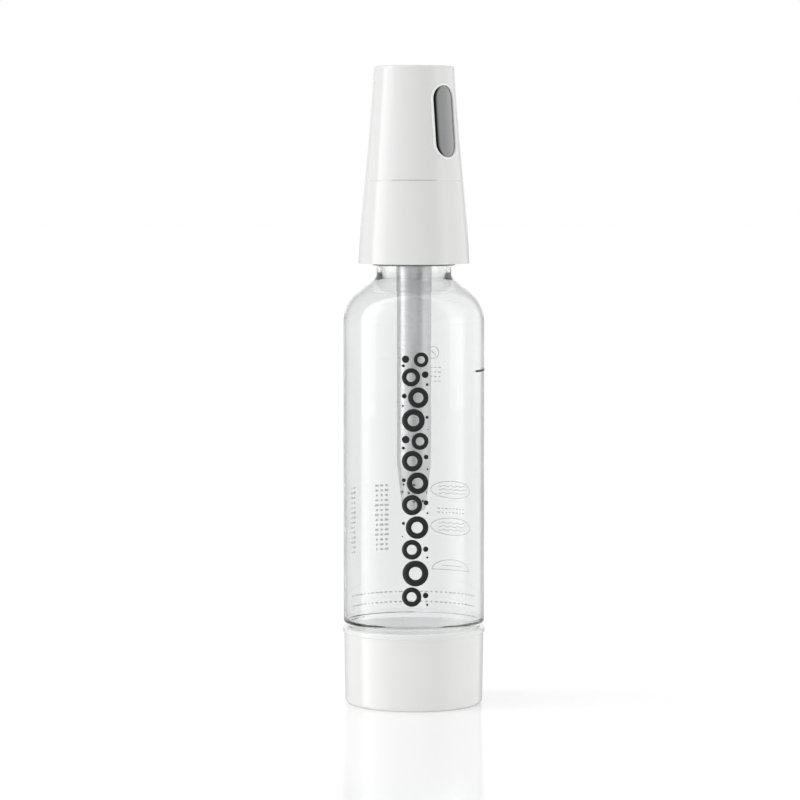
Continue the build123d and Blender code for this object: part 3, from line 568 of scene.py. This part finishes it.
def spring_tree():
    """A round-wire compression spring whose end coils close up."""
    inputs = {
        "Low": 0.0,
        "Height": 0.01,
        "Coil Radius": 0.002,
        "Wire Radius": 0.0003,
        "Turns": 6.0,
        "Centre X": 0.0,
        "Metal": "Material",
    }
    tree, given = new_tree("Coil spring", inputs)
    values = {
        "Resolution": 26,
        "Rotations": given["Turns"],
        "Start Radius": given["Coil Radius"],
        "End Radius": given["Coil Radius"],
        "Height": 1.0,
    }
    coil = put(tree, "GeometryNodeCurveSpiral", values).outputs[0]
    # The coil is 1 high. Its rise slows down at both ends, and is then stretched to the spring's height.
    place = own_place(tree)
    closing = maths(tree, "MULTIPLY", ramped(tree, place["Z"], 0.0, 1.0, "SMOOTHSTEP"), 0.55)
    rise = maths(tree, "MULTIPLY_ADD", place["Z"], 0.45, closing)
    span = maths(tree, "MULTIPLY_ADD", given["Wire Radius"], -2.0, given["Height"])
    foot = maths(tree, "ADD", given["Low"], given["Wire Radius"])
    spot = vector(
        tree,
        X=maths(tree, "ADD", place["X"], given["Centre X"]),
        Y=place["Y"],
        Z=maths(tree, "MULTIPLY_ADD", rise, span, foot),
    )
    wire = swept(tree, moved(tree, coil, Position=spot), circle(tree, given["Wire Radius"], 10))
    finish_tree(tree, wire, given["Metal"])
    return tree


def bead_tree():
    """A round bead along a drawn closed curve."""
    inputs = {"Geometry": "Geometry", "Bead Radius": 0.0005, "Plastic": "Material"}
    tree, given = new_tree("Bead", inputs)
    bead = swept(tree, given["Geometry"], circle(tree, given["Bead Radius"], 16))
    finish_tree(tree, bead, given["Plastic"])
    return tree


def flat_ring_tree():
    """A flat ring that lies level."""
    inputs = {
        "Outer Radius": 0.03,
        "Width": 0.002,
        "Thickness": 0.0004,
        "Level": 0.0,
        "Plastic": "Material",
    }
    tree, given = new_tree("Flat ring", inputs)
    middle = maths(tree, "MULTIPLY_ADD", given["Width"], -0.5, given["Outer Radius"])
    ring = stroke_of(tree, circle(tree, middle, 160), given["Width"], given["Thickness"])
    finish_tree(tree, moved(tree, ring, Offset=vector(tree, Z=given["Level"])), given["Plastic"])
    return tree


def made_by(tree, name, values, source=None):
    """Runs a tree on a source object, or on nothing, and keeps the result as one plain mesh."""
    source = source or bpy.data.objects.new(name + "_source", bpy.data.meshes.new(name + "_source"))
    if source.name not in bpy.context.scene.collection.objects:
        bpy.context.scene.collection.objects.link(source)
    modifier = source.modifiers.new("shape", "NODES")
    modifier.node_group = tree
    for item in tree.interface.items_tree:
        if item.in_out == "INPUT" and item.name in values:
            modifier[item.identifier] = values[item.name]
    graph = bpy.context.evaluated_depsgraph_get()
    mesh = bpy.data.meshes.new_from_object(
        source.evaluated_get(graph), preserve_all_data_layers=True, depsgraph=graph
    )
    source.modifiers.remove(modifier)
    bpy.data.objects.remove(source)
    mesh.name = name
    piece = bpy.data.objects.new(name, mesh)
    bpy.context.scene.collection.objects.link(piece)
    return piece


def drawing(name, lines):
    """A curve object: each line is its points, (x, y) or (x, y, z), and whether it closes."""
    curve = bpy.data.curves.new(name, "CURVE")
    curve.dimensions = "3D"
    for points, closed in lines:
        spline = curve.splines.new("POLY")
        spline.points.add(len(points) - 1)
        for point, place in zip(spline.points, points):
            point.co = (*Vector(place).to_3d(), 1.0)
        spline.use_cyclic_u = closed
    return bpy.data.objects.new(name, curve)


def round_line(x, y, wide, high, steps=32):
    """The points of an ellipse."""
    turns = [2 * math.pi * step / steps for step in range(steps)]
    return [(x + wide * math.cos(t), y + high * math.sin(t)) for t in turns]


# ---- settings --------------------------------------------------------------------------------------


def length(name, description, default):
    return FloatProperty(name=name, description=description, default=default, unit="LENGTH")


def power(name, description, default):
    return FloatProperty(name=name, description=description, default=default, unit="POWER")


def factor(name, description, default):
    return FloatProperty(name=name, description=description, default=default, subtype="FACTOR")


def colour(name, description, default):
    return FloatVectorProperty(name=name, description=description, default=default, subtype="COLOR")


class CarbonatorPrint(bpy.types.PropertyGroup):
    column_low: length("Column foot", "Height of the bubble column's foot", 0.0625)
    column_height: length("Column height", "Height of the bubble column", 0.150)
    half_width: length("Half width", "From the bubble column's middle to its edge", 0.0078)
    rings: IntProperty(name="Rings", description="Number of rings in the column", default=12, min=2)
    small_ring: length("Small ring", "Radius of the smallest ring", 0.0040)
    large_ring: length("Large ring", "Radius of the largest ring", 0.0082)
    space: length("Space", "Gap between rings", 0.0006)
    stroke: factor("Stroke", "Width of a ring's line as a share of its radius", 0.5)
    film: length("Ink film", "Thickness of the ink", 0.00004)
    gap: length("Ink gap", "Clearance of the ink's middle from the wall", 0.00012)
    fill_level: length("Fill level", "Height of the fill line", 0.2)
    seed: IntProperty(name="Seed", description="Arrangement of the bubbles", default=5)


class CarbonatorFinish(bpy.types.PropertyGroup):
    shell: colour("Shell", "Colour of the white shells and cup", (0.86, 0.86, 0.855))
    bottle: colour("Bottle", "Tint of the bottle", (0.93, 0.937, 0.937))
    # The window's two colours are the dark and pale ends of its painted shade.
    window_painted_shade: colour("Window, painted shade side", "Painted shade at the window's inner edge", (0.155, 0.157, 0.16))
    window_painted_light: colour("Window, painted light side", "Painted light at the window's outer edge", (0.37, 0.372, 0.375))
    wand: colour("Wand", "Colour of the wand's metal", (0.74, 0.74, 0.745))
    nut: colour("Neck nut", "Colour of the dark plastic", (0.16, 0.162, 0.165))
    ink: colour("Ink", "Colour of the printed marks", (0.003, 0.003, 0.0035))
    faint_ink: colour("Faint ink", "Colour of the small marks", (0.5, 0.5, 0.51))


class CarbonatorStage(bpy.types.PropertyGroup):
    distance: length("Distance", "From the camera to the object", 1.966)
    eye_height: length("Eye height", "Height of the camera", 0.3126)
    side: length("Side", "The camera's place to the side", -0.0083)
    aim_height: length("Aim height", "Height that the camera looks at", 0.1816)
    lens: FloatProperty(name="Lens", description="Focal length", default=148.5, unit="CAMERA")
    key: power("Key", "Power of the left light", 1.6)
    fill: power("Fill", "Power of the right light", 0.4)
    studio: FloatProperty(name="Studio", description="Strength of the surroundings", default=1.07)
    sweep: FloatProperty(name="Sweep", description="Brightness of the sweep behind", default=1.0)
    glow: power("Glow", "Power of the light inside the cup", 0.018)
    through: factor("Through", "Brightness of the backdrop seen through the bottle", 0.95)
    floor: colour("Floor", "Colour of the floor", (0.93, 0.93, 0.93))


# ---- the pieces ------------------------------------------------------------------------------------


class CARBONATOR_OT_shells(bpy.types.Operator):
    """Finish the white shells and the base cup"""

    bl_idname = "carbonator.shells"
    bl_label = "Shells and cup"

    def execute(self, context):
        colour = tuple(context.scene.carbonator_finish.shell)
        head = moulded_plastic("White head plastic", colour, 0.12, coat=0.4, grain=0.02)
        cup = moulded_plastic("White cup plastic", scaled(colour, 1.06), 0.1, coat=0.5, grain=0.015)
        dress(["head_shell", "cap_shell"], head)
        dress(["base_cup"], cup)
        gap = cap_low.z - shell_high.z
        ring = made_by(
            flat_ring_tree(),
            "seam_ring",
            {
                "Outer Radius": cap_high.x - SEAM_INSET,
                "Width": SEAM_WIDTH,
                "Thickness": gap * 0.7,
                "Level": shell_high.z + gap * 0.4,
                "Plastic": cup,
            },
        )
        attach(ring, "head")
        return {"FINISHED"}


class CARBONATOR_OT_bottle(bpy.types.Operator):
    """Finish the clear bottle"""

    bl_idname = "carbonator.bottle"
    bl_label = "Bottle"

    def execute(self, context):
        tint_of_bottle = tuple(context.scene.carbonator_finish.bottle)
        dress(["bottle"], clear_plastic("Clear bottle plastic", tint_of_bottle))
        return {"FINISHED"}


class CARBONATOR_OT_window(bpy.types.Operator):
    """Finish the tinted window, with its painted shade, a painted shadow band and a rim bead brightened as
    a painted highlight
    """

    bl_idname = "carbonator.window"
    bl_label = "Window"

    def execute(self, context):
        colours = context.scene.carbonator_finish
        pane = tinted_window("Tinted window", tuple(colours.window_painted_shade), tuple(colours.window_painted_light))
        dress(["window_lens"], pane)

        # The bead follows the opening's edge on the tapered wall.
        corners = [v.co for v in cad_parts["window_lens"].data.vertices]
        foot = max(p.xy.length for p in corners if p.z < lens_low.z + LENS_END)
        head = max(p.xy.length for p in corners if p.z > lens_high.z - LENS_END)
        wide = WINDOW_HALF_WIDTH + RIM_OUTSET
        line = []
        for end in (1, -1):
            for step in range(RIM_STEPS + 1):
                turn = math.pi * step / RIM_STEPS
                across = end * wide * math.cos(turn)
                level = LENS_MIDDLE + end * (WINDOW_STRAIGHT + wide * math.sin(turn))
                share = (level - lens_low.z) / LENS_HEIGHT
                wall = foot + (head - foot) * share + LENS_DEPTH - RIM_SUNK
                out = math.sqrt(wall * wall - across * across)
                line.append(((out + across) * math.sqrt(0.5), (across - out) * math.sqrt(0.5), level))
        # The bead is real, but its plastic is a brighter copy of the shell's white, as a painted highlight
        # along the opening's edge.
        pale = scaled(tuple(colours.shell), 1.14)
        white = moulded_plastic("White rim plastic, brightened as painted highlight", pale, 0.1, coat=0.6, grain=0.01)
        rim = made_by(
            bead_tree(),
            "window_rim",
            {"Bead Radius": RIM_RADIUS, "Plastic": white},
            drawing("window_rim_source", [(line, True)]),
        )
        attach(rim, "charger_cap")
        return {"FINISHED"}


class CARBONATOR_OT_wand(bpy.types.Operator):
    """Finish the brushed wand"""

    bl_idname = "carbonator.wand"
    bl_label = "Wand"

    def execute(self, context):
        colour = tuple(context.scene.carbonator_finish.wand)
        brushed = turned_metal("Brushed wand metal", colour, 0.3)
        dress(["wand_collar", "wand_tube", "wand_tip"], brushed)
        return {"FINISHED"}


class CARBONATOR_OT_works(bpy.types.Operator):
    """Finish the neck nut, the valve body, the charger and the small metal pieces"""

    bl_idname = "carbonator.works"
    bl_label = "Works"

    def execute(self, context):
        dark = tuple(context.scene.carbonator_finish.nut)
        dress(["neck_nut"], moulded_plastic("Dark plastic", dark, 0.42, grain=0.12, texture=1300.0))
        pale = scaled(tuple(context.scene.carbonator_finish.shell), 0.95)
        dress(["charger_sleeve"], moulded_plastic("Pale sleeve plastic", pale, 0.4, grain=0.1))
        turned = turned_metal("Turned valve metal", (0.74, 0.75, 0.76), 0.26, line=1500.0, depth=0.2)
        dress(["valve_body"], turned)
        dress(["co2_charger"], plain_metal("Drawn charger steel", (0.66, 0.67, 0.69), 0.24, 500.0))
        steel = plain_metal("Bright steel", (0.58, 0.59, 0.61), 0.28)
        dress(["nut_screws", "cap_screws", "piercing_pin", "check_ball", "gas_filter"], steel)
        brass = plain_metal("Turned brass", (0.72, 0.53, 0.24), 0.26)
        dress(["pin_retainer", "check_plug", "relief_seat", "relief_poppet"], brass)
        return {"FINISHED"}


class CARBONATOR_OT_seals(bpy.types.Operator):
    """Finish the seals, pads and sliding rings"""

    bl_idname = "carbonator.seals"
    bl_label = "Seals and rings"

    def execute(self, context):
        rubber = soft_rubber("Seal rubber", (0.02, 0.02, 0.021))
        dress(["neck_seal", "charger_seal", "charger_pad"], rubber)
        dress(["pin_o_ring", "collar_o_ring", "relief_pad"], rubber)
        nylon = moulded_plastic("Natural nylon", (0.76, 0.74, 0.67), 0.38, grain=0.08)
        dress(["slip_washer", "thrust_disc", "shell_ring_nut"], nylon)
        return {"FINISHED"}


class CARBONATOR_OT_springs(bpy.types.Operator):
    """Wind the two valve springs"""

    bl_idname = "carbonator.springs"
    bl_label = "Valve springs"

    def execute(self, context):
        tree = spring_tree()
        metal = plain_metal("Spring wire", (0.60, 0.61, 0.63), 0.22, 1500.0)
        springs = (
            ("check_spring_coil", "check_spring", check_low, check_high, "check_open", check_low.z),
            ("relief_spring_coil", "relief_spring", relief_low, relief_high, "relief_open", relief_high.z),
        )
        for name, node, low, high, joint, held_at in springs:
            centre = (low.x + high.x) / 2
            coil = made_by(
                tree,
                name,
                {
                    "Low": low.z,
                    "Height": high.z - low.z,
                    "Coil Radius": (high.y - low.y) / 2 - SPRING_WIRE,
                    "Wire Radius": SPRING_WIRE,
                    "Turns": SPRING_TURNS,
                    "Centre X": centre,
                    "Metal": metal,
                },
            )
            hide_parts(node)
            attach(coil, "head")
            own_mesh(coil)
        return {"FINISHED"}


class CARBONATOR_OT_bubbles(bpy.types.Operator):
    """Print the rising bubbles on the front of the bottle"""

    bl_idname = "carbonator.bubbles"
    bl_label = "Bubble print"

    def execute(self, context):
        sizes = context.scene.carbonator_print
        ink = printed_ink("Black ink", tuple(context.scene.carbonator_finish.ink), 0.5)
        column = made_by(
            bubble_tree(),
            "bubble_print",
            {
                "Low": sizes.column_low,
                "Height": sizes.column_height,
                "Half Width": sizes.half_width,
                "Rings": sizes.rings,
                "Small Ring": sizes.small_ring,
                "Large Ring": sizes.large_ring,
                "Space": sizes.space,
                "Stroke Share": sizes.stroke,
                "Film": sizes.film,
                "Gap": sizes.gap,
                "Wall Radius": BOTTLE_RADIUS,
                "Azimuth": math.radians(BUBBLE_BEARING),
                "Seed": sizes.seed,
                "Ink": ink,
            },
        )
        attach(column, "bottle")
        return {"FINISHED"}


class CARBONATOR_OT_marks(bpy.types.Operator):
    """Print the fill line and the small care marks"""

    bl_idname = "carbonator.marks"
    bl_label = "Fill line and care marks"

    def execute(self, context):
        sizes = context.scene.carbonator_print
        tree = line_print_tree()
        common = {"Film": sizes.film, "Gap": sizes.gap, "Wall Radius": BOTTLE_RADIUS}
        ink = printed_ink("Fill line ink", tuple(context.scene.carbonator_finish.ink), 0.3)
        reach = BOTTLE_RADIUS * math.radians(FILL_LENGTH)
        fill = drawing("fill_line_source", [([(0.0, sizes.fill_level), (reach, sizes.fill_level)], False)])
        line = made_by(
            tree,
            "fill_line",
            {**common, "Stroke": 0.0013, "Azimuth": math.radians(FILL_BEARING), "Ink": ink},
            fill,
        )
        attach(line, "bottle")

        # The small marks are on the far side, and are plain shapes: a crossed ring, two ovals
        # with waves in them and an arch.
        faint = printed_ink("Faint ink", tuple(context.scene.carbonator_finish.faint_ink), 0.4)
        ring_level, ring_radius, bar = 0.208, 0.0036, 0.0017
        oval_x, oval_wide, oval_high = -0.0135, 0.0150, 0.0052
        wave_x, wave_step, wave_pitch, wave_height = -0.0235, 0.0008, 0.0022, 0.0005
        arch_level, arch_wide, arch_high = 0.0755, 0.0140, 0.0062
        chord_rise, chord_wide = 0.0025, 0.0080
        marks = [
            (round_line(0.0, ring_level, ring_radius, ring_radius), True),
            ([(-bar, ring_level - bar), (bar, ring_level + bar)], False),
        ]
        for level in (0.1245, 0.1020):
            marks.append((round_line(oval_x, level, oval_wide, oval_high, 48), True))
            for wave in (1, 0, -1):
                points = [
                    (wave_x + wave_step * step, level + wave_pitch * wave + wave_height * math.sin(step))
                    for step in range(26)
                ]
                marks.append((points, False))
        turns = [math.pi * step / 24 for step in range(25)]
        arch = [(oval_x - arch_wide * math.cos(t), arch_level + arch_high * math.sin(t)) for t in turns]
        chord = [(oval_x + side * chord_wide, arch_level + chord_rise) for side in (-1, 1)]
        marks += [(arch, True), (chord, False)]
        small = made_by(
            tree,
            "care_marks",
            {**common, "Stroke": 0.0004, "Azimuth": math.radians(FAR_SIDE), "Ink": faint},
            drawing("care_marks_source", marks),
        )
        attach(small, "bottle")

        # Name, bearing, level of the lowest row, rows, row pitch, dashes, dash pitch, dash height.
        blocks = (
            ("lower_dashes", 180.0, 0.0553, 2, 0.0062, 30, 0.0032, 0.0009),
            ("note_dashes", FAR_SIDE, 0.1905, 4, 0.0028, 4, 0.0028, 0.0005),
            ("left_dashes", 208.0, 0.0880, 14, 0.0030, 3, 0.0034, 0.0013),
            ("side_dashes", 243.0, 0.0880, 14, 0.0030, 2, 0.0034, 0.0013),
            ("oval_dashes", 146.0, 0.1105, 2, 0.0024, 8, 0.0026, 0.0006),
        )
        dashes = dash_tree()
        for number, (name, bearing, low, rows, row_pitch, count, pitch, high) in enumerate(blocks):
            block = made_by(
                dashes,
                name,
                {
                    **common,
                    "Low": low,
                    "Rows": rows,
                    "Row Pitch": row_pitch,
                    "Dashes": count,
                    "Dash Pitch": pitch,
                    "Dash Height": high,
                    "Azimuth": math.radians(bearing),
                    "Seed": sizes.seed + number,
                    "Ink": faint,
                },
            )
            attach(block, "bottle")
        return {"FINISHED"}


# ---- the stage -------------------------------------------------------------------------------------


def aimed(name, data, place, target):
    """An object at a place that looks at a target."""
    thing = bpy.data.objects.new(name, data)
    bpy.context.scene.collection.objects.link(thing)
    thing.location = place
    thing.rotation_euler = (Vector(target) - Vector(place)).to_track_quat("-Z", "Y").to_euler()
    return thing


def soft_light(name, place, target, wide, high, power):
    data = bpy.data.lights.new(name, "AREA")
    data.shape = "RECTANGLE"
    data.size = wide
    data.size_y = high
    data.energy = power
    return aimed(name, data, place, target)


def backdrop(tree, colour, strength):
    return put(tree, "ShaderNodeBackground", {"Color": colour, "Strength": strength}).outputs[0]


class CARBONATOR_OT_stage(bpy.types.Operator):
    """Set the floor, the lights, the surroundings and the camera"""

    bl_idname = "carbonator.stage"
    bl_label = "Stage"

    def execute(self, context):
        scene = context.scene
        stage = scene.carbonator_stage
        middle = (0.0, 0.0, cap_high.z / 2)

        floor_mesh = bpy.data.meshes.new("floor")
        far = FLOOR_REACH
        corners = [(-far, -far, 0), (far, -far, 0), (far, far, 0), (-far, far, 0)]
        floor_mesh.from_pydata(corners, [], [(0, 1, 2, 3)])
        floor_mesh.materials.append(sweep_paper("Pale floor", tuple(stage.floor)))
        floor = bpy.data.objects.new("floor", floor_mesh)
        scene.collection.objects.link(floor)
        floor.visible_glossy = False

        soft_light("left_light", (-1.45, -0.25, 0.75), middle, 0.9, 1.5, stage.key)
        soft_light("right_light", (1.25, -0.5, 0.8), middle, 0.5, 1.3, stage.fill)

        # A faint light in the cup stands in for what comes through its white wall.
        bulb = bpy.data.lights.new("cup_light", "POINT")
        bulb.energy = stage.glow
        bulb.shadow_soft_size = 0.008
        inside = aimed("cup_light", bulb, (0.0, 0.0, cup_high.z * 0.65), middle)
        inside.visible_camera = inside.visible_glossy = inside.visible_transmission = False

        # The surroundings are white to the camera and straight through the bottle. Anything else
        # sees the studio, which changes with the bearing, and a white sweep low down at the back.
        world = bpy.data.worlds.new("studio")
        scene.world = world
        world.use_nodes = True
        tree = world.node_tree
        tree.nodes.clear()
        seen_from = tree.nodes.new("ShaderNodeTexCoord").outputs["Generated"]
        way = put(tree, "ShaderNodeSeparateXYZ", {0: seen_from}).outputs
        bearing = maths(tree, "ARCTAN2", way["X"], maths(tree, "MULTIPLY", way["Y"], -1.0))
        turn = maths(tree, "MULTIPLY_ADD", bearing, 0.5 / math.pi, 0.5)
        ramp = put(tree, "ShaderNodeValToRGB", {"Fac": turn})
        brightest = max(level for _, level in STUDIO)
        stops = ramp.color_ramp.elements
        while len(stops) < len(STUDIO):
            stops.new(0.5)
        for stop, (degrees, level) in zip(stops, STUDIO):
            stop.position = degrees / 360 + 0.5
            stop.color = (*[level / brightest] * 3, 1.0)
        studio = backdrop(tree, ramp.outputs[0], brightest * stage.studio)
        paper = backdrop(tree, (1.0, 1.0, 1.0, 1.0), stage.sweep)
        rays = tree.nodes.new("ShaderNodeLightPath").outputs
        through = maths(tree, "MULTIPLY_ADD", rays["Is Transmission Ray"], stage.through - 1.0, 1.0)
        white = backdrop(tree, (1.0, 1.0, 1.0, 1.0), through)
        straight = maths(tree, "MAXIMUM", rays["Is Camera Ray"], rays["Is Transmission Ray"])
        bounces = maths(tree, "ADD", rays["Glossy Depth"], rays["Diffuse Depth"])
        seen = maths(tree, "MULTIPLY", straight, maths(tree, "LESS_THAN", bounces, 0.5))
        back = ramped(tree, way["Y"], 0.85, 0.97, "SMOOTHSTEP")
        above = ramped(tree, way["Z"], -0.002, 0.008, "SMOOTHSTEP")
        behind = maths(tree, "MULTIPLY", back, above)
        room = put(tree, "ShaderNodeMixShader", {0: behind, 1: studio, 2: paper})
        mixed = put(tree, "ShaderNodeMixShader", {0: seen, 1: room.outputs[0], 2: white})
        output = tree.nodes.new("ShaderNodeOutputWorld")
        tree.links.new(mixed.outputs[0], output.inputs["Surface"])

        data = bpy.data.cameras.new("camera")
        data.lens = stage.lens
        data.sensor_width = 36.0
        eye = (stage.side, -stage.distance, stage.eye_height)
        scene.camera = aimed("camera", data, eye, (stage.side, 0.0, stage.aim_height))
        scene.view_settings.view_transform = "Standard"
        scene.view_settings.look = "None"
        return {"FINISHED"}


class CARBONATOR_PT_panel(bpy.types.Panel):
    """Lists the carbonator's pieces and settings"""

    bl_idname = "CARBONATOR_PT_panel"
    bl_label = "Soda carbonator"
    bl_space_type = "VIEW_3D"
    bl_region_type = "UI"
    bl_category = "Carbonator"

    def draw(self, context):
        layout = self.layout
        for operator in OPERATORS:
            layout.operator(operator.bl_idname)
        scene = context.scene
        for group in (scene.carbonator_finish, scene.carbonator_print, scene.carbonator_stage):
            box = layout.box()
            for name in group.__annotations__:
                box.prop(group, name)


OPERATORS = (
    CARBONATOR_OT_shells,
    CARBONATOR_OT_bottle,
    CARBONATOR_OT_window,
    CARBONATOR_OT_wand,
    CARBONATOR_OT_works,
    CARBONATOR_OT_seals,
    CARBONATOR_OT_springs,
    CARBONATOR_OT_bubbles,
    CARBONATOR_OT_marks,
    CARBONATOR_OT_stage,
)
GROUPS = (CarbonatorPrint, CarbonatorFinish, CarbonatorStage)


def register():
    for item in (*GROUPS, *OPERATORS, CARBONATOR_PT_panel):
        bpy.utils.register_class(item)
    bpy.types.Scene.carbonator_print = PointerProperty(type=CarbonatorPrint)
    bpy.types.Scene.carbonator_finish = PointerProperty(type=CarbonatorFinish)
    bpy.types.Scene.carbonator_stage = PointerProperty(type=CarbonatorStage)


def unregister():
    del bpy.types.Scene.carbonator_stage
    del bpy.types.Scene.carbonator_finish
    del bpy.types.Scene.carbonator_print
    for item in reversed((*GROUPS, *OPERATORS, CARBONATOR_PT_panel)):
        bpy.utils.unregister_class(item)


def main():
    register()
    for operator in OPERATORS:
        group, name = operator.bl_idname.split(".")
        getattr(getattr(bpy.ops, group), name)()


if __name__ == "__main__":
    main()
